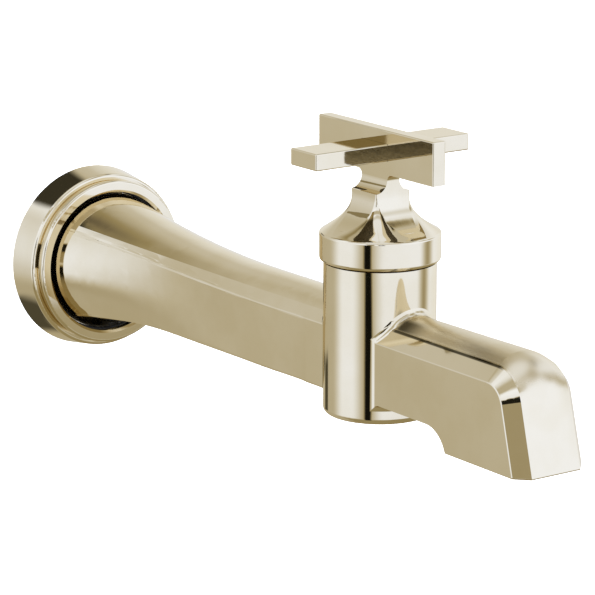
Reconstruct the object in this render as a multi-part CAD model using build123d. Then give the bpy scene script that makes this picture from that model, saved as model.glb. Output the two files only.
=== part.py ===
from build123d import *
import math
import os

os.makedirs("parts", exist_ok=True)

# Wall mounted bath faucet: a cast spout with a cross handle valve in its middle.
# Millimetres. The origin is the middle of the inlet on the finished wall, +Z is up
# and the spout runs out along -Y.

# Spout arm, from the wall to the valve
valve_reach = 172.0          # wall to the valve axis
shank_radius = 24.3          # round end of the arm inside the flange
shank_start = 10.2           # the arm ends here, hidden by the flange
taper_start = 12.0           # the arm starts to draw in here
arm_straight_run = 22.0      # the last of the arm before the valve axis keeps its section
arm_half_width = 13.0
arm_side_top = 8.6           # the flat side would meet the sloped strip here
arm_chamfer = 3.3            # sloped strip between side and crown
arm_crown = 3.9              # rise of the crowned top over its two edges
arm_edge_round = 0.8         # between side and sloped strip
arm_bottom = -12.8
arm_bottom_round = 0.9
crown_blend = 0.7            # share of the arm where each line has run out of its flare
edge_blend = 0.87
side_blend = 0.67
bottom_blend = 0.48
flare_angles = (90, 43, 42, 41, 39.75, 38.5, -4, -46, -48, -50, -90)
root_fillet = 2.4            # hollow corner where arm and nose meet the valve body

# Valve body
body_radius = 18.0
body_bottom = -19.2
body_top = 30.0
body_bottom_round = 2.0

# Nose, from the valve to the outlet
nose_root_half_width = 12.4
nose_front_half_width = 13.7
nose_chamfer = 4.25
nose_edge_round = 0.6        # between side and sloped strip
nose_foot_round = 0.5
nose_edge_top = 12.05        # upper edge of the sloped strip
nose_crown = 3.55
bend_crown_share = 0.3       # of the crown is left after the bend
foot_crown_share = 0.06      # and at the foot of the front
crown_edge_gap = 0.1
crown_sink = 2.5             # the crowned skin is rooted this deep in the nose
nose_underside = -12.1
nose_length = 87.7           # valve axis to the lower front edge
front_slant = 14.6           # degrees, the front leans out towards its foot
nose_bend = 11.5             # bend from the top to the front
outlet_bottom = -19.4
outlet_block_length = 37.4   # front edge to rear edge of the outlet block
step_length = 9.8            # hollow step behind the outlet block

# Waterways
seat_level = -2.0
chamber_radius = 7.0
chamber_floor = -14.5
arm_bore_radius = 7.0
drill_radius = 4.5
gallery_radius = 15.0
gallery_bottom = 1.0
gallery_top = 10.0
nose_bore_radius = 5.0
nose_bore_level = 5.5

# Inlet adapter, screwed on the wall's pipe stub
inlet_thread_radius = 9.9
inlet_thread_length = 9.5
spanner_flats = 29.0         # hexagon at the wall end
adapter_radius = 13.4
adapter_length = 38.0
adapter_bore_radius = 7.5
adapter_clearance = 0.1
o_ring_section = 0.85        # half the thickness of each sealing ring
o_ring_room = 0.05
adapter_ring_offsets = (8.5, 4.0)   # back from the adapter's inner end
spout_screw_place = 24.0
spout_screw_radius = 3.0
spout_screw_length = 7.0
screw_clearance = 0.1
screw_socket_share = 0.58    # corner radius of the hexagon socket over the screw's
screw_socket_depth = 0.45    # share of the screw's length

# Wall flange
flange_hole_clearance = 0.7  # gap round the arm
flange_land = 4.1            # width of the front ring
flange_step_width = 1.7
flange_taper = 1.5           # the flange widens by this from its step to the wall
flange_step_depth = 11.4
flange_depth = 15.2
flange_wall = 2.4
flange_back_gap = 0.5
flange_groove = 0.6
land_round_share = 0.22      # of the front land is rounded off outside
land_chamfer_share = 0.2     # and chamfered inside
gasket_thickness = 2.0
gasket_share = 0.65          # of the flange's back is covered by the gasket

# Ceramic valve cartridge
bore_radius = 13.0
bore_clearance = 0.2
mouth_radius = 15.0
mouth_floor = 17.0
cartridge_collar = 3.0
cartridge_top = 26.0
cartridge_stem_radius = 10.0
disc_room_radius = 10.0
disc_room_top = 10.1
window_width = 9.0
seat_gasket_thickness = 1.6
seat_gasket_width = 2.8
disc_clearance = 0.2
disc_thickness = 3.0
disc_gap = 0.05
disc_opening_angle = 84.0
disc_opening_inner = 2.6
disc_opening_outer = 7.6
dog_width = 4.0
dog_length = 13.0
dog_depth = 1.2
carrier_thickness = 3.2
washer_thickness = 0.8
cartridge_ring_level = 13.5

# Spindle
spindle_radius = 5.0
spindle_fit = 0.05
spline_radius = 4.0
spline_teeth = 12
spline_root_share = 0.88
spindle_top = 46.0
clip_thickness = 0.7
clip_outer_radius = 6.8
clip_mouth = 5.0
clip_depth = 0.8
spindle_ring_section = 0.6
spindle_ring_levels = (14.0, 19.0)

# Bonnet: nut that holds the cartridge, and the ring under the handle that hides it
nut_thread_clearance = 0.2
nut_bore_radius = 10.4
nut_neck_radius = 13.0
nut_top = 36.0
nut_slot_width = 4.0
nut_slot_depth = 2.0
ring_radius = 19.3
ring_bottom = 30.45
ring_top = 38.3
ring_round = 1.2
ring_recess_radius = 15.5    # a recess at each end: glide ring below, hub spigot above
ring_lower_recess = 35.0
ring_upper_recess = 36.6
ring_web_clearance = 0.4
glide_clearance = 0.1
glide_bottom = 31.5
glide_fit = 0.05             # running fit of the glide ring on the nut

# Cross handle
running_gap = 0.3
rim_height = 1.4
rim_round = 1.0
neck_half_width = 6.6
neck_level = 53.0
bell_power = 2.7
neck_corner_share = 0.08
rim_corner_share = 0.995
corner_power = 1.6
plate_half_thickness = 2.4
plate_length = 59.5
plate_bottom = 58.8
plate_height = 13.9
plate_fillet = 2.0
bar_length = 59.8
bar_width = 13.5
bar_thickness = 5.4
bar_clearance = 0.03
bar_edge_round = 0.45
spigot_wall = 2.0
bell_room_top = 41.5
boss_radius = 8.6
socket_radius = 6.0
socket_top = 47.0
insert_clearance = 0.05
insert_length = 9.0
handle_screw_level = 44.5
handle_screw_radius = 2.0
handle_screw_length = 4.2

# Outlet
mouth_bore_radius = 11.2
mouth_bore_depth = 4.0
aerator_radius = 10.5
aerator_top = -5.0
aerator_clearance = 0.15
aerator_wall = 1.35
aerator_lip = 0.8
aerator_gasket_thickness = 1.6
aerator_gasket_width = 2.3
outlet_throat_radius = 9.0
straightener_height = 6.0
straightener_cell = 1.4        # half a cell, flat to flat
straightener_wall = 0.5

arm_straight = valve_reach - arm_straight_run
nose_reach = valve_reach + nose_length
nose_front_foot = -nose_reach
outlet_rear = nose_front_foot + outlet_block_length
outlet_centre = (nose_front_foot + outlet_rear) / 2
flange_hole_radius = shank_radius + flange_hole_clearance
flange_ring_radius = flange_hole_radius + flange_land
flange_front_radius = flange_ring_radius + flange_step_width
flange_radius = flange_front_radius + flange_taper


def band(inner, outer, low, high):
    """A ring round the valve axis between two levels."""
    height = high - low
    solid = Cylinder(outer, height) - Cylinder(inner, height)
    return Pos(0, -valve_reach, low + height / 2) * solid


def post(radius, low, high):
    """A round post on the valve axis between two levels."""
    height = high - low
    return Pos(0, -valve_reach, low + height / 2) * Cylinder(radius, height)


def pipe(radius, near, far, level=0.0):
    """A round bar along the spout, from one distance off the wall to another."""
    length = far - near
    return Pos(0, -near - length / 2, level) * Rot(90, 0, 0) * Cylinder(radius, length)


def outlet_post(radius, low, high):
    height = high - low
    return Pos(0, outlet_centre, low + height / 2) * Cylinder(radius, height)


def segment(start, middle, end):
    """An arc through three points, or a line where they are in line."""
    a, m, b = Vector(*start), Vector(*middle), Vector(*end)
    bow = (m - (a + b) / 2).length
    if bow < 1e-4:
        return Line(a, b)
    return ThreePointArc(a, m, b)


def softened(shape, pick, radius):
    """Fillets the picked edges of a shape, smaller where the full radius finds no room."""
    edges = pick(shape)
    if not edges:
        return shape
    for share in (1.0, 0.9, 0.8, 0.7, 0.6, 0.5):
        try:
            eased = fillet(edges, share * radius)
        except ValueError:
            continue
        if eased.is_valid:
            return eased
    return shape


# Arm of the spout: round at the wall, a chamfered box with a crowned top at the valve
def ease(distance, share):
    """1 at the start of the taper, falling smoothly to 0 where the flare has run out."""
    run_out = share * arm_straight
    left = (run_out - distance) / (run_out - taper_start)
    return max(left, 0.0) ** 2


def arm_box():
    """Right half of the arm's section at the valve, from the top down: the ends and middles of
    its crown, sloped strip, edge round, side, bottom round and bottom."""
    slope = math.sqrt(0.5)
    crown_half = arm_half_width - arm_chamfer
    crown_edge = arm_side_top + arm_chamfer
    half_turn = math.pi / 8
    cut = arm_edge_round * math.tan(half_turn)
    strip_end = (arm_half_width - slope * cut, arm_side_top + slope * cut)
    strip_middle = ((crown_half + strip_end[0]) / 2, (crown_edge + strip_end[1]) / 2)
    side_top = arm_side_top - cut
    edge_middle = (
        arm_half_width - arm_edge_round * (1 - math.cos(half_turn)),
        side_top + arm_edge_round * math.sin(half_turn),
    )
    foot = arm_bottom + arm_bottom_round
    toe = arm_half_width - arm_bottom_round
    toe_middle = (toe + slope * arm_bottom_round, foot - slope * arm_bottom_round)
    return [
        ((0, crown_edge + arm_crown), crown_blend),
        ((crown_half, crown_edge), edge_blend),
        (strip_middle, edge_blend),
        (strip_end, edge_blend),
        (edge_middle, edge_blend),
        ((arm_half_width, side_top), edge_blend),
        ((arm_half_width, (side_top + foot) / 2), side_blend),
        ((arm_half_width, foot), bottom_blend),
        (toe_middle, bottom_blend),
        ((toe, arm_bottom), bottom_blend),
        ((0, arm_bottom), bottom_blend),
    ]


def arm_section(distance):
    """Outline of the arm at a distance from the wall, as a face square to the arm."""
    right, left = [], []
    for (box_x, box_z), blend in arm_box():
        share = ease(distance, blend)
        turn = math.radians(flare_angles[len(right)])
        x = box_x + (shank_radius * math.cos(turn) - box_x) * share
        z = box_z + (shank_radius * math.sin(turn) - box_z) * share
        right.append((x, z))
        left.append((-x, z))
    starts = (1, 3, 5, 7)
    outline = Curve() + [segment(*right[i:i + 3]) for i in starts]
    outline += segment(right[9], right[10], left[9])
    outline += [segment(left[i + 2], left[i + 1], left[i]) for i in reversed(starts)]
    outline += segment(left[1], right[0], right[1])
    return Plane.XZ.offset(distance) * make_face(outline)


def arm():
    steps = 8
    places = [taper_start + (arm_straight - taper_start) * i / steps for i in range(steps + 1)]
    flare = loft([arm_section(place) for place in places])
    into_valve = valve_reach - body_radius / 3
    straight = extrude(arm_section(arm_straight), into_valve - arm_straight, dir=(0, -1, 0))
    return pipe(shank_radius, shank_start, taper_start) + flare + straight


# Nose of the spout
def nose_profile():
    """Side view of the nose up to the edges of its crowned top."""
    lean = math.tan(math.radians(front_slant))
    front_head = nose_front_foot + lean * (nose_edge_top - outlet_bottom)
    step_start = outlet_rear + step_length
    top = Polyline(
        (-valve_reach, nose_underside),
        (-valve_reach, nose_edge_top),
        (front_head, nose_edge_top),
        (nose_front_foot, outlet_bottom),
        (outlet_rear, outlet_bottom),
    )
    step = TangentArc(
        (step_start, nose_underside), (outlet_rear, outlet_bottom), tangent=(-1, 0)
    )
    under = Line((step_start, nose_underside), (-valve_reach, nose_underside))
    face = make_face(top + step + under)
    head = face.vertices().sort_by_distance((front_head, nose_edge_top, 0))[0]
    return Plane.YZ * fillet(head, nose_bend)


def nose_plan():
    """Plan view: the nose widens a little towards its front."""
    far = nose_reach + body_radius
    near = valve_reach
    root = valve_reach + math.sqrt(body_radius**2 - nose_root_half_width**2)
    grow = (nose_front_half_width - nose_root_half_width) / (nose_reach - root)

    def half_width(distance):
        return nose_root_half_width + grow * (distance - root)

    flare_angle = math.atan(grow)
    return half_width, flare_angle, Polygon(
        (-half_width(near), -near),
        (-half_width(far), -far),
        (half_width(far), -far),
        (half_width(near), -near),
        align=None,
    )


def nose_crown_pad(half_width, flare_angle):
    """The crowned skin on the nose's top, carried round the bend and run out on the front."""
    lean = math.radians(front_slant)
    turn = math.pi / 2 - lean
    tangent = nose_bend * math.tan(turn / 2)
    head = nose_front_foot + math.tan(lean) * (nose_edge_top - outlet_bottom)
    bend_start = -head - tangent
    centre = (bend_start, nose_edge_top - nose_bend)
    root = valve_reach + body_radius / 2
    stations = [(root, nose_edge_top, 0.0, 1.0), (bend_start, nose_edge_top, 0.0, 1.0)]
    bend_steps = 8
    for i in range(1, bend_steps + 1):
        share = i / bend_steps
        angle = turn * share
        out = centre[0] + nose_bend * math.sin(angle)
        up = centre[1] + nose_bend * math.cos(angle)
        stations.append((out, up, angle, 1.0 - (1.0 - bend_crown_share) * share))
    foot_gap = nose_foot_round + crown_edge_gap
    foot = (nose_reach - math.tan(lean) * foot_gap, outlet_bottom + foot_gap)
    stations.append((*foot, turn, foot_crown_share))

    def section(out, up, angle, share):
        half = half_width(out) - nose_chamfer / math.cos(flare_angle)
        half -= crown_edge_gap if angle > 0 else 0
        place = Plane(
            origin=(0, -out, up),
            x_dir=(1, 0, 0),
            z_dir=(0, -math.cos(angle), -math.sin(angle)),
        )
        rise = nose_crown * share
        crown = ThreePointArc((-half, 0), (0, rise), (half, 0))
        base = Polyline((half, 0), (half, -crown_sink), (-half, -crown_sink), (-half, 0))
        return place * make_face(crown + base)

    faces = [section(*station) for station in stations]
    straight = loft(faces[:2])
    bent = loft(faces[1:-1])
    front = loft(faces[-2:])
    return straight, bent, front


def nose():
    half_width, flare_angle, plan = nose_plan()
    side = extrude(nose_profile(), nose_reach, both=True)
    height = nose_edge_top - outlet_bottom
    block = side & (Pos(0, 0, outlet_bottom) * extrude(plan, height))
    edges = []
    for edge in block.edges():
        middle = edge.position_at(0.5)
        ends = [edge.position_at(0), edge.position_at(1)]
        on_side = all(abs(abs(p.X) - half_width(-p.Y)) < 0.01 for p in ends)
        on_top = middle.Z > nose_edge_top - nose_bend or middle.Y < -nose_reach + nose_bend
        upright = abs(ends[0].Y - ends[1].Y) < 0.01
        low = middle.Z < outlet_bottom + 0.01
        if on_side and on_top and not upright and not low and middle.Y < -valve_reach - 1:
            edges.append(edge)
    block = softened(chamfer(edges, nose_chamfer), foot_edges, nose_foot_round)
    return block, nose_crown_pad(half_width, flare_angle)


def foot_edges(shape):
    """Edges round the underside of the outlet block."""
    return [e for e in shape.edges() if e.bounding_box().max.Z < outlet_bottom + 0.01]


def strip_edges(shape):
    """The two long edges between the nose's sides and its sloped strips."""
    half_width = nose_plan()[0]
    found = []
    for edge in shape.edges():
        points = [edge.position_at(t) for t in (0, 0.5, 1)]
        on_side = all(abs(abs(p.X) - half_width(-p.Y)) < 0.01 for p in points)
        on_nose = all(p.Y < -valve_reach for p in points)
        upright = abs(points[0].Y - points[2].Y) < 0.01
        above = max(p.Z for p in points) > nose_underside + 1
        if on_side and on_nose and above and not upright:
            found.append(edge)
    return found


def root_edges(shape, hand):
    """Edges where the arm (hand 1) or the nose (hand -1) meets the valve barrel."""
    found = []
    for edge in shape.edges():
        points = [edge.position_at(t) for t in (0, 0.25, 0.5, 0.75, 1)]
        on_barrel = all(
            abs(math.hypot(p.X, p.Y + valve_reach) - body_radius) < 0.01 for p in points
        )
        below_mouth = all(body_bottom + body_bottom_round + 1 < p.Z < body_top - 1 for p in points)
        if on_barrel and below_mouth and hand * (points[2].Y + valve_reach) > 0:
            found.append(edge)
    return found


def spout_skin():
    """The outside of the spout casting, before its waterways are bored."""
    barrel = post(body_radius, body_bottom, body_top)
    barrel = fillet(barrel.edges().sort_by(Axis.Z)[0], body_bottom_round)
    block, pads = nose()
    skin = barrel + arm() + block + list(pads)
    skin = softened(skin, lambda shape: root_edges(shape, -1), root_fillet)
    skin = softened(skin, strip_edges, nose_edge_round)
    return softened(skin, lambda shape: root_edges(shape, 1), root_fillet)


def waterways():
    """Everything bored out of the spout casting."""
    drill_start = (0, -arm_straight + 2 * drill_radius, 0)
    drill_end = (0, -valve_reach + chamber_radius / 2, chamber_floor + drill_radius / 2)
    drill_line = Line(drill_start, drill_end)
    drill = extrude(
        Plane(origin=drill_start, z_dir=drill_line % 0) * Circle(drill_radius), drill_line.length
    )
    bores = [
        pipe(adapter_radius + adapter_clearance, shank_start - 1, adapter_length + 1),
        pipe(arm_bore_radius, adapter_length, arm_straight - drill_radius),
        drill,
        post(chamber_radius, chamber_floor, seat_level),
        post(bore_radius, seat_level, mouth_floor),
        post(mouth_radius, mouth_floor, body_top + 1),
        post(gallery_radius, gallery_bottom, gallery_top),
        pipe(nose_bore_radius, valve_reach, outlet_throat_radius / 3 - outlet_centre, nose_bore_level),
        outlet_post(outlet_throat_radius, aerator_top, nose_bore_level),
        outlet_post(aerator_radius, outlet_bottom + mouth_bore_depth, aerator_top),
        outlet_post(mouth_bore_radius, outlet_bottom - 1, outlet_bottom + mouth_bore_depth),
    ]
    screw_top = -(adapter_radius - 1)
    screw_hole = Pos(0, -spout_screw_place, screw_top - shank_radius / 2)
    bores.append(screw_hole * Cylinder(spout_screw_radius, shank_radius))
    return bores


def spout_body():
    return spout_skin() - waterways()


# Wall side: flange, gasket, adapter, screw
def round_about_inlet(points):
    """A ring turned about the inlet axis from (radius, distance off the wall) points."""
    outline = Polyline(*[(radius, -depth) for radius, depth in points], close=True)
    return revolve(make_face(outline), Axis.Y)


def wall_rebate():
    outer = flange_radius - flange_wall / 2
    return outer, outer - gasket_share * (outer - flange_hole_radius)


def flange_ring_major():
    return shank_radius + o_ring_room + o_ring_section


def flange_ring_depth():
    return (shank_start + taper_start) / 2


def wall_flange():
    outer, inner = wall_rebate()
    hole_chamfer = land_chamfer_share * flange_land
    ring = round_about_inlet([
        (flange_radius, flange_back_gap),
        (flange_front_radius, flange_step_depth),
        (flange_ring_radius + flange_groove, flange_step_depth),
        (flange_ring_radius + flange_groove, flange_step_depth - flange_groove),
        (flange_ring_radius, flange_step_depth - flange_groove),
        (flange_ring_radius, flange_depth),
        (flange_hole_radius + hole_chamfer, flange_depth),
        (flange_hole_radius, flange_depth - hole_chamfer),
        (flange_hole_radius, flange_back_gap),
        (inner, flange_back_gap),
        (inner, gasket_thickness),
        (outer, gasket_thickness),
        (outer, flange_back_gap),
    ])
    rims = ring.edges().filter_by(GeomType.CIRCLE)

    def rim(radius, depth):
        return [e for e in rims if abs(e.radius - radius) < 0.01 and abs(e.center().Y + depth) < 0.01]

    lip_round = flange_step_width - flange_groove
    ring = fillet(rim(flange_front_radius, flange_step_depth), lip_round)
    rims = ring.edges().filter_by(GeomType.CIRCLE)
    ring = fillet(rim(flange_ring_radius, flange_depth), land_round_share * flange_land)
    half_groove = o_ring_section + o_ring_room
    groove = pipe(
        flange_ring_major() + half_groove,
        flange_ring_depth() - half_groove,
        flange_ring_depth() + half_groove,
    )
    return ring - groove


def wall_gasket():
    outer, inner = wall_rebate()
    return pipe(outer, 0, gasket_thickness) - pipe(inner, 0, gasket_thickness)


def ring_on_inlet(major, depth):
    return Pos(0, -depth, 0) * Rot(90, 0, 0) * Torus(major, o_ring_section)


def flange_o_ring():
    return ring_on_inlet(flange_ring_major(), flange_ring_depth())


def adapter_ring_places():
    return [adapter_length - offset for offset in adapter_ring_offsets]


def adapter_ring_major():
    return adapter_radius + adapter_clearance - o_ring_room - o_ring_section


def inlet_adapter():
    hexagon = RegularPolygon(spanner_flats / 2, 6, major_radius=False)
    tube = extrude(Plane.XZ * hexagon, shank_start, dir=(0, -1, 0))
    tube += pipe(adapter_radius, 0, adapter_length)
    tube -= pipe(inlet_thread_radius, 0, inlet_thread_length)
    tube -= pipe(adapter_bore_radius, inlet_thread_length, adapter_length)
    half_groove = o_ring_section + o_ring_room
    groove_radius = adapter_ring_major() - half_groove
    for place in adapter_ring_places():
        groove = pipe(adapter_radius + 1, place - half_groove, place + half_groove)
        tube -= groove - pipe(groove_radius, place - half_groove, place + half_groove)
    low, high = spout_screw_place - spout_screw_radius, spout_screw_place + spout_screw_radius
    tube -= pipe(adapter_radius + 1, low, high) - pipe(adapter_radius - 1, low, high)
    return tube


def inlet_o_rings():
    return [ring_on_inlet(adapter_ring_major(), place) for place in adapter_ring_places()]


def grub_screw(radius, length):
    """A headless screw along +Z from its tip at the origin, with a hexagon socket at its end."""
    rod = Pos(0, 0, length / 2) * Cylinder(radius, length)
    rod = chamfer(rod.edges().filter_by(GeomType.CIRCLE), radius / 8)
    depth = length * screw_socket_depth
    socket = extrude(RegularPolygon(radius * screw_socket_share, 6), depth)
    return rod - Pos(0, 0, length - depth) * socket


def spout_screw():
    tip = -(adapter_radius - 1) - screw_clearance / 2
    place = Pos(0, -spout_screw_place, tip) * Rot(180, 0, 0)
    return place * grub_screw(spout_screw_radius - screw_clearance, spout_screw_length)


# Cartridge: seat gasket, two ceramic discs, body, spindle
def cartridge_radius():
    return bore_radius - bore_clearance


def disc_radius():
    return disc_room_radius - disc_clearance


def fixed_disc_bottom():
    return seat_level + seat_gasket_thickness


def moving_disc_bottom():
    return fixed_disc_bottom() + disc_thickness + disc_gap


def carrier_bottom():
    return moving_disc_bottom() + disc_thickness


def carrier_top():
    return carrier_bottom() + carrier_thickness


def disc_openings(turn):
    """Two opposite fan shaped ways through a ceramic disc."""
    reach = 2 * disc_opening_outer
    half = math.radians(disc_opening_angle / 2)
    wedge = Polygon(
        (0, 0),
        (reach * math.cos(half), -reach * math.sin(half)),
        (reach * math.cos(half), reach * math.sin(half)),
        align=None,
    )
    fan = (Circle(disc_opening_outer) - Circle(disc_opening_inner)) & wedge
    return [Rot(0, 0, turn) * fan, Rot(0, 0, turn + 180) * fan]


def ceramic_disc(radius, bottom, turn):
    blank = post(radius, bottom, bottom + disc_thickness)
    place = Pos(0, -valve_reach, bottom)
    return blank - [place * extrude(fan, disc_thickness) for fan in disc_openings(turn)]


def disc_key(play):
    """Two lugs that stop the fixed disc from turning in the cartridge."""
    reach = cartridge_radius() + disc_room_radius
    level = fixed_disc_bottom() + disc_thickness / 2
    height = disc_thickness + 2 * play
    return Pos(0, -valve_reach, level) * Box(dog_width + 2 * play, reach + 2 * play, height)


def seat_gasket():
    return band(disc_radius() - seat_gasket_width, disc_radius(), seat_level, fixed_disc_bottom())


def fixed_disc():
    plain = ceramic_disc(disc_radius(), fixed_disc_bottom(), 0)
    way = post(disc_opening_outer, fixed_disc_bottom(), carrier_bottom())
    return plain + (disc_key(0) - way - post(disc_radius(), seat_level, cartridge_top))


def moving_disc():
    disc = ceramic_disc(disc_radius() - disc_clearance, moving_disc_bottom(), 90)
    return disc - dog(carrier_bottom())


def dog(top):
    return Pos(0, -valve_reach, top - dog_depth / 2) * Box(dog_length, dog_width, dog_depth)


def cartridge_body():
    shell = post(cartridge_radius(), seat_level, mouth_floor)
    shell += post(mouth_radius - bore_clearance, mouth_floor, mouth_floor + cartridge_collar)
    shell += post(cartridge_stem_radius, mouth_floor, cartridge_top)
    shell -= post(disc_room_radius, seat_level, disc_room_top)
    shell -= post(spindle_radius + spindle_fit, disc_room_top, cartridge_top)
    window_low = moving_disc_bottom() + disc_gap
    window_high = gallery_top - bore_clearance
    window = Box(2 * bore_radius + 1, window_width, window_high - window_low)
    shell -= Pos(0, -valve_reach, (window_low + window_high) / 2) * window
    key_way = disc_key(bore_clearance)
    shell -= key_way + Pos(0, 0, -disc_thickness) * key_way
    half_groove = o_ring_section + o_ring_room
    groove_inner = cartridge_ring_major() - half_groove
    low, high = cartridge_ring_level - half_groove, cartridge_ring_level + half_groove
    return shell - band(groove_inner, bore_radius + 1, low, high)


def cartridge_ring_major():
    return bore_radius - o_ring_room - o_ring_section


def cartridge_o_ring():
    return Pos(0, -valve_reach, cartridge_ring_level) * Torus(cartridge_ring_major(), o_ring_section)


def thrust_washer():
    low = disc_room_top - disc_gap - washer_thickness
    return band(spindle_radius + disc_clearance, disc_radius(), low, low + washer_thickness)


def spline_outline(radius):
    """Toothed outline of the spindle's top, worked out tooth by tooth."""
    points = []
    for i in range(2 * spline_teeth):
        size = radius if i % 2 == 0 else radius * spline_root_share
        turn = math.pi * i / spline_teeth
        points.append((size * math.cos(turn), size * math.sin(turn)))
    return make_face(Polyline(*points, close=True))


def clip_level():
    return cartridge_top + running_gap


def spindle():
    wing = post(disc_radius() - disc_clearance, carrier_bottom(), carrier_top())
    wing &= Pos(0, -valve_reach, 0) * Box(4 * disc_radius(), 2 * dog_width, 4 * cartridge_top)
    spline_start = clip_level() + clip_thickness + clip_depth
    shaft = wing + dog(carrier_bottom()) + post(spindle_radius, carrier_top(), spline_start)
    spline = extrude(spline_outline(spline_radius), spindle_top - spline_start)
    shaft += Pos(0, -valve_reach, spline_start) * spline
    half_groove = spindle_ring_section + o_ring_room
    groove_inner = spindle_radius - 2 * half_groove
    for level in spindle_ring_levels:
        shaft -= band(groove_inner, spindle_radius + 1, level - half_groove, level + half_groove)
    clip_groove = band(
        spindle_radius - clip_depth,
        spindle_radius + 1,
        clip_level(),
        clip_level() + clip_thickness,
    )
    return shaft - clip_groove


def spindle_o_rings():
    major = spindle_radius - o_ring_room - spindle_ring_section
    ring = Torus(major, spindle_ring_section)
    return [Pos(0, -valve_reach, level) * ring for level in spindle_ring_levels]


def spindle_clip():
    inner = spindle_radius - clip_depth + o_ring_room
    ring = band(inner, clip_outer_radius, clip_level(), clip_level() + clip_thickness)
    mouth = Pos(0, -valve_reach + clip_outer_radius, clip_level()) * Box(
        clip_mouth, 2 * clip_outer_radius, 4 * clip_thickness
    )
    return ring - mouth


# Bonnet: threaded nut, visible ring, glide ring
def bonnet_nut():
    low = mouth_floor + cartridge_collar
    nut = band(nut_bore_radius, mouth_radius - nut_thread_clearance, low, body_top)
    nut += band(nut_bore_radius, nut_neck_radius, body_top, nut_top)
    slot = Box(4 * nut_neck_radius, nut_slot_width, 2 * nut_slot_depth)
    return nut - Pos(0, -valve_reach, nut_top) * slot


def bonnet_ring():
    ring = post(ring_radius, ring_bottom, ring_top)
    ring = fillet(ring.edges().filter_by(GeomType.CIRCLE).sort_by(Axis.Z)[0], ring_round)
    ring -= post(ring_recess_radius, ring_bottom, ring_lower_recess)
    ring -= post(nut_neck_radius + ring_web_clearance, ring_lower_recess, ring_upper_recess)
    return ring - post(ring_recess_radius, ring_upper_recess, ring_top)


def glide_ring():
    outer = ring_recess_radius - glide_clearance
    return band(nut_neck_radius + glide_fit, outer, glide_bottom, ring_lower_recess)


# Cross handle
def bell_section(share):
    """Section of the bell: square with small corners at 0, round at 1."""
    low = ring_top + rim_height
    level = neck_level - (neck_level - low) * share
    half = neck_half_width + (ring_radius - neck_half_width) * share**bell_power
    corner = neck_corner_share + (rim_corner_share - neck_corner_share) * share**corner_power
    return Pos(0, -valve_reach, level) * RectangleRounded(2 * half, 2 * half, corner * half)


def bell():
    steps = 8
    skin = loft([bell_section(i / steps) for i in range(steps + 1)])
    return softened(skin + extrude(bell_section(1), -rim_height), rim_edges, rim_round)


def rim_edges(shape):
    """Edges round the bell's rim, where its flare starts."""
    level = ring_top + rim_height
    return [e for e in shape.edges() if all(abs(e.position_at(t).Z - level) < 0.01 for t in (0, 0.5, 1))]


def neck_top():
    """Coved shoulder from the square neck up into the upright plate."""
    cove = neck_half_width - plate_half_thickness
    cove_top = neck_level + cove
    join = plate_bottom + plate_height / 4
    drop = cove * math.sqrt(0.5)
    sides = []
    for hand in (1, -1):
        middle = (hand * (neck_half_width - drop), cove_top - drop)
        sides.append(ThreePointArc(
            (hand * neck_half_width, neck_level), middle, (hand * plate_half_thickness, cove_top)
        ))
    outline = Curve() + sides
    outline += Line((neck_half_width, neck_level), (-neck_half_width, neck_level))
    outline += Polyline(
        (plate_half_thickness, cove_top),
        (plate_half_thickness, join),
        (-plate_half_thickness, join),
        (-plate_half_thickness, cove_top),
    )
    face = Plane.XZ * make_face(outline)
    return Pos(0, -valve_reach, 0) * extrude(face, neck_half_width, both=True)


def cross_level():
    return plate_bottom + plate_height / 2


def plate():
    """Upright plate with the web under it, its two inner corners filleted."""
    blade = Pos(0, cross_level()) * Rectangle(plate_length, plate_height)
    web_height = cross_level() - neck_level
    web = Pos(0, neck_level + web_height / 2) * Rectangle(2 * neck_half_width, web_height)
    outline = blade + web
    inner = [
        v for v in outline.vertices()
        if abs(abs(v.X) - neck_half_width) < 0.01 and abs(v.Y - plate_bottom) < 0.01
    ]
    outline = Plane.YZ * fillet(inner, plate_fillet)
    slab = extrude(outline, plate_half_thickness, both=True)
    upper = [e for e in slab.edges() if e.position_at(0.5).Z > plate_bottom + bar_edge_round]
    return Pos(0, -valve_reach, 0) * fillet(upper, bar_edge_round)


def handle_hub():
    hub = bell() + neck_top() + plate()
    low = ring_upper_recess + glide_clearance
    spigot_radius = ring_recess_radius - glide_clearance
    hub -= post(spigot_radius - spigot_wall, ring_top, bell_room_top)
    hub += band(spigot_radius - spigot_wall, spigot_radius, low, bell_room_top)
    hub += post(boss_radius, low, bell_room_top)
    hub -= post(socket_radius, low, socket_top)
    hub -= handle_screw_place() * Pos(0, 0, ring_radius / 2) * Cylinder(handle_screw_radius, ring_radius)
    slot = Box(bar_length, bar_width + 2 * bar_clearance, bar_thickness + 2 * bar_clearance)
    return hub - Pos(0, -valve_reach, cross_level()) * slot


def cross_bar():
    bar = fillet(Box(bar_length, bar_width, bar_thickness).edges(), bar_edge_round)
    return Pos(0, -valve_reach, cross_level()) * bar


def handle_screw_place():
    return Pos(0, -valve_reach, handle_screw_level) * Rot(-90, 0, 0)


def handle_screw():
    tip = socket_radius
    rod = grub_screw(handle_screw_radius - screw_clearance, handle_screw_length)
    return handle_screw_place() * Pos(0, 0, tip) * rod


def handle_insert():
    low = spindle_top - insert_length
    sleeve = post(socket_radius - insert_clearance, low, spindle_top)
    toothed = extrude(spline_outline(spline_radius + insert_clearance), insert_length)
    return sleeve - Pos(0, -valve_reach, low) * toothed


# Outlet: gasket, housing and flow straightener
def aerator_housing_top():
    return aerator_top - aerator_gasket_thickness


def aerator_gasket():
    outer = aerator_radius - aerator_clearance
    ring = outlet_post(outer, aerator_housing_top(), aerator_top)
    return ring - outlet_post(outer - aerator_gasket_width, aerator_housing_top(), aerator_top)


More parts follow.
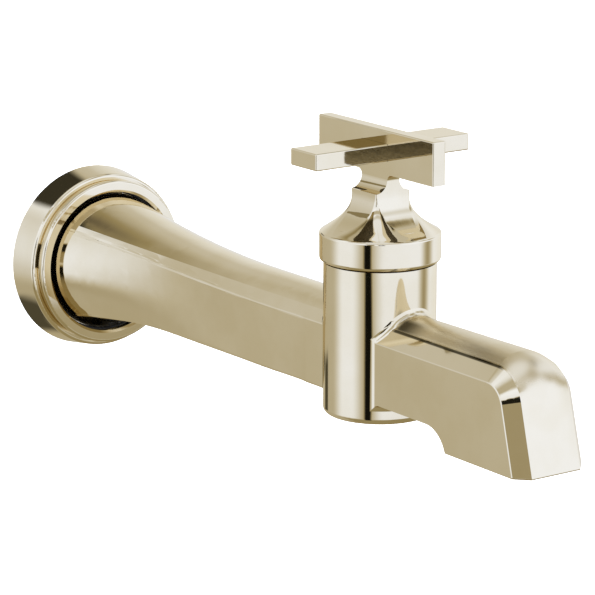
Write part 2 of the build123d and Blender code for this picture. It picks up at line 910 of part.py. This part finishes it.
def aerator_housing():
    outer = aerator_radius - aerator_clearance
    low = outlet_bottom + mouth_bore_depth
    tube = outlet_post(outer, low, aerator_housing_top())
    tube -= outlet_post(outer - aerator_wall, low + aerator_lip, aerator_housing_top())
    return tube - outlet_post(outer - aerator_wall - aerator_lip, low, low + aerator_lip)


def flow_straightener():
    """Honeycomb disc that steadies the stream."""
    low = outlet_bottom + mouth_bore_depth + aerator_lip
    outer = aerator_radius - aerator_clearance - aerator_wall - o_ring_room
    pitch = 2 * straightener_cell + straightener_wall
    cell = RegularPolygon(straightener_cell, 6, major_radius=False, rotation=30)
    room = outer - straightener_cell / math.cos(math.pi / 6) - straightener_wall
    cells = []
    rows = math.ceil(outer / pitch)
    for across in range(-rows, rows + 1):
        for along in range(-rows, rows + 1):
            x = pitch * (across + along / 2)
            y = pitch * along * math.sqrt(3) / 2
            if math.hypot(x, y) < room:
                cells.append(Pos(x, y) * cell)
    disc = outlet_post(outer, low, low + straightener_height)
    comb = extrude(Sketch() + cells, straightener_height)
    return disc - Pos(0, outlet_centre, low) * comb


makers = [
    spout_body,
    wall_flange,
    wall_gasket,
    flange_o_ring,
    inlet_adapter,
    inlet_o_rings,
    spout_screw,
    seat_gasket,
    fixed_disc,
    moving_disc,
    cartridge_body,
    cartridge_o_ring,
    thrust_washer,
    spindle,
    spindle_o_rings,
    spindle_clip,
    bonnet_nut,
    bonnet_ring,
    glide_ring,
    handle_hub,
    cross_bar,
    handle_insert,
    handle_screw,
    aerator_gasket,
    aerator_housing,
    flow_straightener,
]

for maker in makers:
    piece = maker()
    if isinstance(piece, list):
        piece = Compound(children=piece)
    export_step(piece, f"parts/{maker.__name__}.step")
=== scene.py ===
import math

import bpy
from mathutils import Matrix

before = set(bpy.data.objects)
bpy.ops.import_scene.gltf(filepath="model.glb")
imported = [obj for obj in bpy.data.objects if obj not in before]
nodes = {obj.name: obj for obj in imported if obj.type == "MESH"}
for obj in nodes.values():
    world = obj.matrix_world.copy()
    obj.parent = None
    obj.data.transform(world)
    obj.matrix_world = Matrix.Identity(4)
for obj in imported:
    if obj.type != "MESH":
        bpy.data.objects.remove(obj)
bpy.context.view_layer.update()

bpy.ops.object.select_all(action="DESELECT")
print("frame loaded:", len(nodes), "nodes")


# a socket with the maths operators on it, so that shader sums read as sums
class Wire:
    def __init__(self, graph, socket):
        self.graph = graph
        self.socket = socket

    def sum(self, operation, *others):
        return self.graph.add("ShaderNodeMath", {"operation": operation}, [self, *others])

    def __add__(self, other):
        return self.sum("ADD", other)

    def __radd__(self, other):
        return self.sum("ADD", other)

    def __sub__(self, other):
        return self.sum("SUBTRACT", other)

    def __rsub__(self, other):
        return self.graph.add("ShaderNodeMath", {"operation": "SUBTRACT"}, [other, self])

    def __mul__(self, other):
        return self.sum("MULTIPLY", other)

    def __rmul__(self, other):
        return self.sum("MULTIPLY", other)

    def __abs__(self):
        return self.sum("ABSOLUTE")


class Graph:
    def __init__(self, owner):
        owner.use_nodes = True
        self.tree = owner.node_tree
        self.tree.nodes.clear()

    # one node of any kind: its settings first, then values or wires for its sockets
    def add(self, kind, settings=None, inputs=None, out=0):
        node = self.tree.nodes.new(kind)
        for key, value in (settings or {}).items():
            if key == "stops":
                ramp = node.color_ramp
                while len(ramp.elements) < len(value):
                    ramp.elements.new(0.5)  # its place is set below
                for element, (place, colour) in zip(ramp.elements, value):
                    element.position = place
                    element.color = tone(colour)
            else:
                setattr(node, key, value)
        pairs = inputs.items() if isinstance(inputs, dict) else enumerate(inputs or [])
        for key, value in pairs:
            if isinstance(value, Wire):
                self.tree.links.new(value.socket, node.inputs[key])
            else:
                node.inputs[key].default_value = value
        return Wire(self, node.outputs[out]) if len(node.outputs) else node

    def split(self, vector):
        node = self.add("ShaderNodeSeparateXYZ", None, [vector]).socket.node
        return [Wire(self, socket) for socket in node.outputs]

    # a soft step between two values, and the two that are used most
    def step(self, value, low, high, toLow, toHigh):
        ends = {"From Min": low, "From Max": high, "To Min": toLow, "To Max": toHigh}
        return self.add("ShaderNodeMapRange", {"interpolation_type": "SMOOTHSTEP"}, {"Value": value, **ends})

    def rise(self, value, low, high):
        return self.step(value, low, high, 0.0, 1.0)

    def fall(self, value, low, high):
        return self.step(value, low, high, 1.0, 0.0)

    def noise(self, place, scale, detail, roughness, stretch=None):
        if stretch:
            place = self.add("ShaderNodeMapping", None, {"Vector": place, "Scale": stretch})
        return self.add("ShaderNodeTexNoise", None,
                        {"Vector": place, "Scale": scale, "Detail": detail, "Roughness": roughness})

    # a Mix node has its colours at 6 and 7, and their blend at output 2
    def blend(self, share, first, second):
        return self.add("ShaderNodeMix", {"data_type": "RGBA"}, {0: share, 6: first, 7: second}, out=2)

    def bump(self, height, strength, depth):
        return self.add("ShaderNodeBump", None, {"Strength": strength, "Distance": depth, "Height": height})

    def surface(self, values):
        shader = self.add("ShaderNodeBsdfPrincipled", None, values)
        self.add("ShaderNodeOutputMaterial", None, {"Surface": shader})


def newMaterial(name):
    material = bpy.data.materials.new(name)
    return material, Graph(material)


def objectPlace(g):
    return g.add("ShaderNodeTexCoord", out="Object")


def tone(colour):
    return (*colour, 1.0)


# in the finishes below, a noise is (scale, detail, roughness), its Span is the part of it that is used,
# its Run stretches it, and relief is the bump's (strength, depth in metres)

# polished warm nickel: bright and almost mirror smooth, with a faint buffing haze
nickel = {
    "bright": (0.80, 0.715, 0.535), "deep": (0.775, 0.685, 0.495), "edge": (0.90, 0.84, 0.70),
    "cloud": (55.0, 3.0, 0.55), "cloudSpan": (0.35, 0.65),
    "buff": (900.0, 2.0, 0.6), "buffRun": (1.0, 0.12, 1.0), "relief": (0.015, 0.0001),
    "polish": 0.045, "haze": 0.015, "hazeCloud": 0.6, "hazeBuff": 0.4, "hazeSpan": (0.4, 0.65),
}
# marks on the nose: a softer buff on its crown that blurs its reflections, and painted shade that stands in
# for dark reflections, a dark line in the crease beside the crown and a dark patch at its root, in metres,
# with lengths out from the root
nose = {
    "root": -0.186, "bend": 0.060, "bendFade": 0.003,
    "foot": 0.003, "floor": 0.010, "floorFade": 0.001, "top": 0.0165,  # heights
    "crease": 0.00815, "flare": 0.0174,  # half width of the crown at its root, and its growth
    "edgeFade": 0.0008, "crownStart": (0.0035, 0.006), "satin": 0.24,
    "line": 0.0005, "lineCore": 0.4, "lineStart": (0.003, 0.005),
    # black is the colour of the painted shade in the crease line and the root patch
    "rootShadeEnd": (0.007, 0.02), "rootShadeSide": (0.002, 0.005), "black": (0.10, 0.088, 0.06),
}


def noseSatinAndPaintedShade(g, place):
    across, along, height = g.split(place)
    across = abs(across)
    out = nose["root"] - along
    crease = nose["crease"] + nose["flare"] * out
    belowTop = g.fall(height, nose["top"], nose["top"] + nose["edgeFade"])
    above = g.rise(height, nose["floor"] - nose["floorFade"], nose["floor"]) * belowTop
    stretch = (g.rise(out, *nose["lineStart"])
               * g.fall(out, nose["bend"] - nose["bendFade"], nose["bend"])) * above
    # painted shade: a dark line along the crease beside the crown
    line = g.fall(abs(across - crease), nose["line"] * nose["lineCore"], nose["line"]) * stretch
    crown = (g.fall(across, crease - nose["edgeFade"], crease)
             * g.rise(height, nose["foot"], nose["floor"]) * belowTop
             * g.rise(out, *nose["crownStart"]))
    # painted shade: a dark patch at the root of the crown, where the nose mirrors the barrel and handle
    stain = crown * above * g.fall(out, *nose["rootShadeEnd"]) * g.rise(across, *nose["rootShadeSide"])
    return crown, line + stain


# painted shade: a dark patch, dull as well, under the middle of the handle, which the bell below mirrors
under = {"axis": -0.172, "reach": 0.017, "fade": 0.004, "facing": (-0.95, -0.8),
         # dull is the colour of the painted shade
         "dull": (0.11, 0.095, 0.07), "satin": 0.3}


def paintedShadeUnder(g, place):
    across, along = g.split(place)[:2]
    along = along - under["axis"]
    radius = (across * across + along * along).sum("POWER", 0.5)
    facing = g.split(g.add("ShaderNodeNewGeometry", out="Normal"))[2]
    return g.fall(facing, *under["facing"]) * g.fall(radius, under["reach"], under["reach"] + under["fade"])


def makeNickel(name, marks=None):
    material, g = newMaterial(name)
    place = objectPlace(g)
    cloud = g.noise(place, *nickel["cloud"])
    buffing = g.noise(place, *nickel["buff"], nickel["buffRun"])
    colour = g.blend(g.rise(cloud, *nickel["cloudSpan"]), tone(nickel["bright"]), tone(nickel["deep"]))
    haze = g.rise(cloud * nickel["hazeCloud"] + buffing * nickel["hazeBuff"], *nickel["hazeSpan"])
    rough = nickel["polish"] + nickel["haze"] * haze
    if marks == "nose":
        crown, black = noseSatinAndPaintedShade(g, place)
        rough = rough + nose["satin"] * crown
        # painted shade from the nose's crease line and root patch
        colour = g.blend(black, colour, tone(nose["black"]))
    if marks == "under":
        shadeUnderHandle = paintedShadeUnder(g, place)
        rough = rough + under["satin"] * shadeUnderHandle
        # painted shade under the middle of the handle
        colour = g.blend(shadeUnderHandle, colour, tone(under["dull"]))
    g.surface({"Base Color": colour, "Metallic": 1.0, "Roughness": rough,
               "Normal": g.bump(buffing, *nickel["relief"]), "Specular Tint": tone(nickel["edge"])})
    return material


brass = {
    "bright": (0.72, 0.50, 0.20), "dull": (0.52, 0.33, 0.12), "rough": 0.24, "spread": 0.2,
    "stain": (120.0, 4.0, 0.6), "stainSpan": (0.35, 0.7),
    "turning": (1400.0, 2.0, 0.5), "turningRun": (0.1, 1.0, 1.0), "relief": (0.15, 0.0002),
}


def makeBrass():
    material, g = newMaterial("plainBrass")
    place = objectPlace(g)
    stain = g.noise(place, *brass["stain"])
    turned = g.noise(place, *brass["turning"], brass["turningRun"])
    colour = g.blend(g.rise(stain, *brass["stainSpan"]), tone(brass["bright"]), tone(brass["dull"]))
    g.surface({"Base Color": colour, "Metallic": 1.0, "Roughness": brass["rough"] + brass["spread"] * stain,
               "Normal": g.bump(turned, *brass["relief"])})
    return material


rubber = {
    "black": (0.016, 0.016, 0.017), "grey": (0.045, 0.044, 0.042), "rough": 0.55, "spread": 0.25,
    "bloom": (160.0, 4.0, 0.65), "bloomSpan": (0.4, 0.75),
    "grain": (1800.0, 3.0, 0.6), "relief": (0.3, 0.0002),
}


def makeRubber():
    material, g = newMaterial("blackRubber")
    place = objectPlace(g)
    bloom = g.noise(place, *rubber["bloom"])
    grain = g.noise(place, *rubber["grain"])
    colour = g.blend(g.rise(bloom, *rubber["bloomSpan"]), tone(rubber["black"]), tone(rubber["grey"]))
    g.surface({"Base Color": colour, "Roughness": rubber["rough"] + rubber["spread"] * bloom,
               "Normal": g.bump(grain, *rubber["relief"])})
    return material


ceramic = {"white": (0.82, 0.80, 0.76), "shade": (0.70, 0.68, 0.63), "rough": 0.12, "spread": 0.16,
           "speckle": (2200.0, 2.0, 0.7), "speckleSpan": (0.45, 0.75), "glaze": 0.3}


def makeCeramic():
    material, g = newMaterial("discCeramic")
    speckle = g.noise(objectPlace(g), *ceramic["speckle"])
    colour = g.blend(g.rise(speckle, *ceramic["speckleSpan"]), tone(ceramic["white"]), tone(ceramic["shade"]))
    g.surface({"Base Color": colour, "Roughness": ceramic["rough"] + ceramic["spread"] * speckle,
               "Coat Weight": ceramic["glaze"]})
    return material


steel = {"light": (0.66, 0.66, 0.65), "dark": (0.48, 0.48, 0.47), "rough": 0.2, "spread": 0.25,
         "scratch": (2600.0, 3.0, 0.5), "scratchRun": (1.0, 0.08, 1.0), "relief": (0.2, 0.0001)}


def makeSteel():
    material, g = newMaterial("stainlessSteel")
    scratch = g.noise(objectPlace(g), *steel["scratch"], steel["scratchRun"])
    colour = g.blend(scratch, tone(steel["light"]), tone(steel["dark"]))
    g.surface({"Base Color": colour, "Metallic": 1.0, "Roughness": steel["rough"] + steel["spread"] * scratch,
               "Normal": g.bump(scratch, *steel["relief"])})
    return material


nylon = {"name": "whiteNylon", "pale": (0.80, 0.78, 0.72), "dark": (0.68, 0.66, 0.60), "rough": 0.38}
outletPlastic = {"name": "outletPlastic", "pale": (0.20, 0.20, 0.20), "dark": (0.13, 0.13, 0.135),
                 "rough": 0.42}
mould = {"flow": (260.0, 3.0, 0.55), "flowSpan": (0.35, 0.7), "spread": 0.15,
         "grain": (3200.0, 2.0, 0.6), "relief": (0.15, 0.0001)}


def makePlastic(plastic):
    material, g = newMaterial(plastic["name"])
    place = objectPlace(g)
    flow = g.noise(place, *mould["flow"])
    grain = g.noise(place, *mould["grain"])
    colour = g.blend(g.rise(flow, *mould["flowSpan"]), tone(plastic["pale"]), tone(plastic["dark"]))
    g.surface({"Base Color": colour, "Roughness": plastic["rough"] + mould["spread"] * flow,
               "Normal": g.bump(grain, *mould["relief"])})
    return material


finishes = {
    "polished_nickel": makeNickel("polishedNickel"),
    "spout_nickel": makeNickel("spoutNickel", "nose"),
    "handle_nickel": makeNickel("handleNickel", "under"),
    "plain_brass": makeBrass(),
    "black_rubber": makeRubber(),
    "ceramic": makeCeramic(),
    "stainless_steel": makeSteel(),
    "nylon": makePlastic(nylon),
    "outlet_plastic": makePlastic(outletPlastic),
}
nodeFinish = {
    "spout_nickel": ["spout_body"],
    "handle_nickel": ["handle_hub", "cross_bar"],
    "polished_nickel": ["wall_flange", "bonnet_ring"],
    "plain_brass": ["inlet_adapter", "cartridge_body", "bonnet_nut", "spindle"],
    "black_rubber": ["wall_gasket", "flange_o_ring", "inlet_o_rings", "seat_gasket", "cartridge_o_ring",
                     "spindle_o_rings", "aerator_gasket"],
    "ceramic": ["fixed_disc", "moving_disc"],
    "stainless_steel": ["spindle_clip", "spout_screw", "handle_screw"],
    "nylon": ["thrust_washer", "glide_ring", "handle_insert"],
    "outlet_plastic": ["aerator_housing", "flow_straightener"],
}
for finish, names in nodeFinish.items():
    for name in names:
        nodes[name].data.materials.clear()
        nodes[name].data.materials.append(finishes[finish])
print("finishes on", sum(len(names) for names in nodeFinish.values()), "nodes")


# studio: a pale floor far below the wall fitting
floorPlan = {"size": 14.0, "level": -0.5, "pale": (0.93, 0.93, 0.92), "shade": 0.99,
             "mottle": (6.0, 3.0, 0.5), "rough": 0.9}


def makeFloor():
    bpy.ops.object.select_all(action="DESELECT")
    bpy.ops.mesh.primitive_plane_add(size=floorPlan["size"], location=(0, 0, floorPlan["level"]))
    floor = bpy.context.object
    floor.name = "studioFloor"
    bpy.ops.object.transform_apply(location=True, rotation=True, scale=True)
    material, g = newMaterial("paleFloor")
    mottle = g.noise(objectPlace(g), *floorPlan["mottle"])
    pale = floorPlan["pale"]
    colour = g.blend(mottle, tone(pale), tone([part * floorPlan["shade"] for part in pale]))
    g.surface({"Base Color": colour, "Roughness": floorPlan["rough"]})
    floor.data.materials.append(material)
    floor.visible_glossy = False


# the light tent round the part: panels by bearing off the camera line and height, in degrees,
# as (bearing, half width, height, half height, soft sides, soft ends, level)
tent = {
    "turn": -35.71, "power": 1.6,
    "ground": 0.22, "wall": 0.8, "ceiling": 0.5,
    "groundEdge": (-32, -14), "ceilingEdge": (48, 60),
    "panels": {
        "topLamp": (0, 180, 90, 22, 10, 10, 0.75),
        "frontLamp": (68, 26, 12, 20, 20, 16, 0.86),
        "keyLamp": (-55, 34, 42, 15, 44, 20, 0.92),
        "wallShade": (-145, 45, 8, 26, 36, 14, 0.5),
        "wallFoot": (-145, 48, -28, 20, 34, 26, 0.36),
        "groundLeft": (-122, 38, -45, 15, 24, 22, 0.36),
        "wallGlow": (-178, 22, 6, 16, 24, 26, 0.74),
        "railFall": (-155, 38, 49, 13, 14, 24, 0.22),
        "darkRail": (-126, 15, 48, 3, 24, 7, 0.1),
        "tanRoof": (-158, 20, 62, 11, 16, 5, 0.38),
        "flagHaze": (-26, 17, -15, 8, 34, 14, 0.3),
        "blackFlag": (-25, 7, -20, 12, 6, 6, 0.005),
        "stripHaze": (-19, 7, 2, 6.5, 5, 3, 0.27),
        "stripFlag": (-20, 8, 13, 5, 5, 3, 0.01),
        "cornerFlag": (2, 7, -2, 9.7, 3, 1, 0.03),
        "nearRoof": (-16, 62, 43, 8, 16, 8, 0.4),
        "goldRoof": (74, 14, 52, 10, 24, 14, 0.25),
        "goldSide": (95, 9, 31, 7, 16, 12, 0.26),
        "goldEdge": (109, 11, 20, 9, 22, 14, 0.36),
        "goldFoot": (99, 11, -14, 6, 22, 6, 0.27),
        "farRoof": (165, 34, 54, 14, 24, 26, 0.45),
        "darkCorner": (126, 15, 55.5, 2.5, 8, 3, 0.04),
    },
    # the light's colour by level: warm where it is dark, a little blue where it is bright
    "tones": [(0.0, (0.0, 0.0, 0.0)), (0.05, (0.046, 0.043, 0.031)), (0.13, (0.13, 0.11, 0.07)),
              (0.23, (0.23, 0.197, 0.113)), (0.43, (0.387, 0.371, 0.323)), (0.7, (0.574, 0.61, 0.704)),
              (0.86, (0.685, 0.752, 0.95))],
}
halfTurn = 180.0


def makeTent():
    world = bpy.data.worlds.new("lightTent")
    bpy.context.scene.world = world
    g = Graph(world)
    x, y, z = g.split(g.add("ShaderNodeTexCoord", out="Generated"))
    turn = math.radians(tent["turn"])
    across = x * math.cos(turn) + y * math.sin(turn)
    toward = x * math.sin(turn) - y * math.cos(turn)
    bearing = across.sum("ARCTAN2", toward) * math.degrees(1)
    height = z.sum("ARCSINE") * math.degrees(1)
    level = g.step(height, *tent["groundEdge"], tent["ground"], tent["wall"])
    level = level + g.step(height, *tent["ceilingEdge"], 0.0, tent["ceiling"] - tent["wall"])
    for middle, halfWidth, up, halfHeight, softSide, softEnd, strength in tent["panels"].values():
        off = abs((bearing - middle).sum("WRAP", halfTurn, -halfTurn))
        rise = abs(height - up)
        inside = g.fall(off, halfWidth - softSide / 2, halfWidth + softSide / 2)
        inside = inside * g.fall(rise, halfHeight - softEnd / 2, halfHeight + softEnd / 2)
        level = level + inside * (strength - level)
    colour = g.add("ShaderNodeValToRGB", {"stops": tent["tones"]}, [level])
    shader = g.add("ShaderNodeBackground", None, {"Color": colour, "Strength": tent["power"]})
    g.add("ShaderNodeOutputWorld", None, {"Surface": shader})


# small upright cards outside the part that show only in its metal: middle and half size in mm,
# turn in degrees, and the soft share of their sides and ends
cards = {
    "barCard": {"at": (-29, -129, 79), "turn": 37, "half": (9, 4.5), "soft": (0.05, 0.05),
                "shade": (0.18, 0.154, 0.091)},
    "rimCard": {"at": (-21, 60, 92), "turn": 0, "half": (48, 17), "soft": (0.16, 0.2),
                "shade": (0.028, 0.026, 0.019)},
    "footCard": {"at": (-38, 60, -73), "turn": 0, "half": (44, 18), "soft": (0.25, 0.25),
                 "shade": (0.055, 0.051, 0.036)},
    "flangeCard": {"at": (113, -218, -91), "turn": 30, "half": (45, 30), "soft": (0.2, 0.25),
                   "shade": (0.285, 0.258, 0.186)},
}
cardMiddle = 0.5  # in the sheet's UV map, which runs from 0 to 1


def makeCards():
    for name, card in cards.items():
        bpy.ops.object.select_all(action="DESELECT")
        bpy.ops.mesh.primitive_plane_add(size=2.0)
        sheet = bpy.context.object
        sheet.name = name
        sheet.scale = (card["half"][0] / 1000, card["half"][1] / 1000, 1.0)
        sheet.rotation_euler = (math.radians(90.0), 0.0, math.radians(card["turn"]))
        sheet.location = [v / 1000 for v in card["at"]]
        bpy.ops.object.transform_apply(location=True, rotation=True, scale=True)
        material, g = newMaterial(name)
        spot = g.split(g.add("ShaderNodeTexCoord", out="UV"))
        inside = 1.0
        for side, soft in zip(spot, card["soft"]):
            inside = inside * g.fall(abs(side - cardMiddle), cardMiddle - soft, cardMiddle)
        glow = g.add("ShaderNodeEmission", None, {"Color": tone(card["shade"]), "Strength": tent["power"]})
        clear = g.add("ShaderNodeBsdfTransparent")
        shader = g.add("ShaderNodeMixShader", None, {0: inside, 1: clear, 2: glow})
        g.add("ShaderNodeOutputMaterial", None, {"Surface": shader})
        sheet.data.materials.append(material)
        sheet.visible_camera = False
        sheet.visible_diffuse = False
        sheet.visible_shadow = False


# one even light straight down, so that the floor stays white far behind the part
daylight = {"at": (0.0, 0.0, 3.0), "power": 4.2, "angle": 20.0}


def makeDaylight():
    bpy.ops.object.select_all(action="DESELECT")
    bpy.ops.object.light_add(type="SUN", location=daylight["at"])
    light = bpy.context.object
    light.name = "daylight"
    light.data.energy = daylight["power"]
    light.data.angle = math.radians(daylight["angle"])
    light.visible_glossy = False


camera = {"at": (-0.61664, -0.98524, 0.26644), "turn": -35.71, "tilt": 13.69, "lens": 201.06, "film": 36.0,
          "reach": 60.0}


def makeCamera():
    bpy.ops.object.camera_add(location=camera["at"])
    eye = bpy.context.object
    eye.rotation_euler = (math.radians(90.0 - camera["tilt"]), 0.0, math.radians(camera["turn"]))
    eye.data.lens = camera["lens"]
    eye.data.sensor_width = camera["film"]
    eye.data.sensor_fit = "HORIZONTAL"
    eye.data.clip_end = camera["reach"]
    bpy.context.scene.camera = eye


makeFloor()
makeTent()
makeCards()
makeDaylight()
makeCamera()
bpy.context.scene.view_settings.view_transform = "Standard"
print("studio ready:", len(tent["panels"]), "panels,", len(cards), "cards")
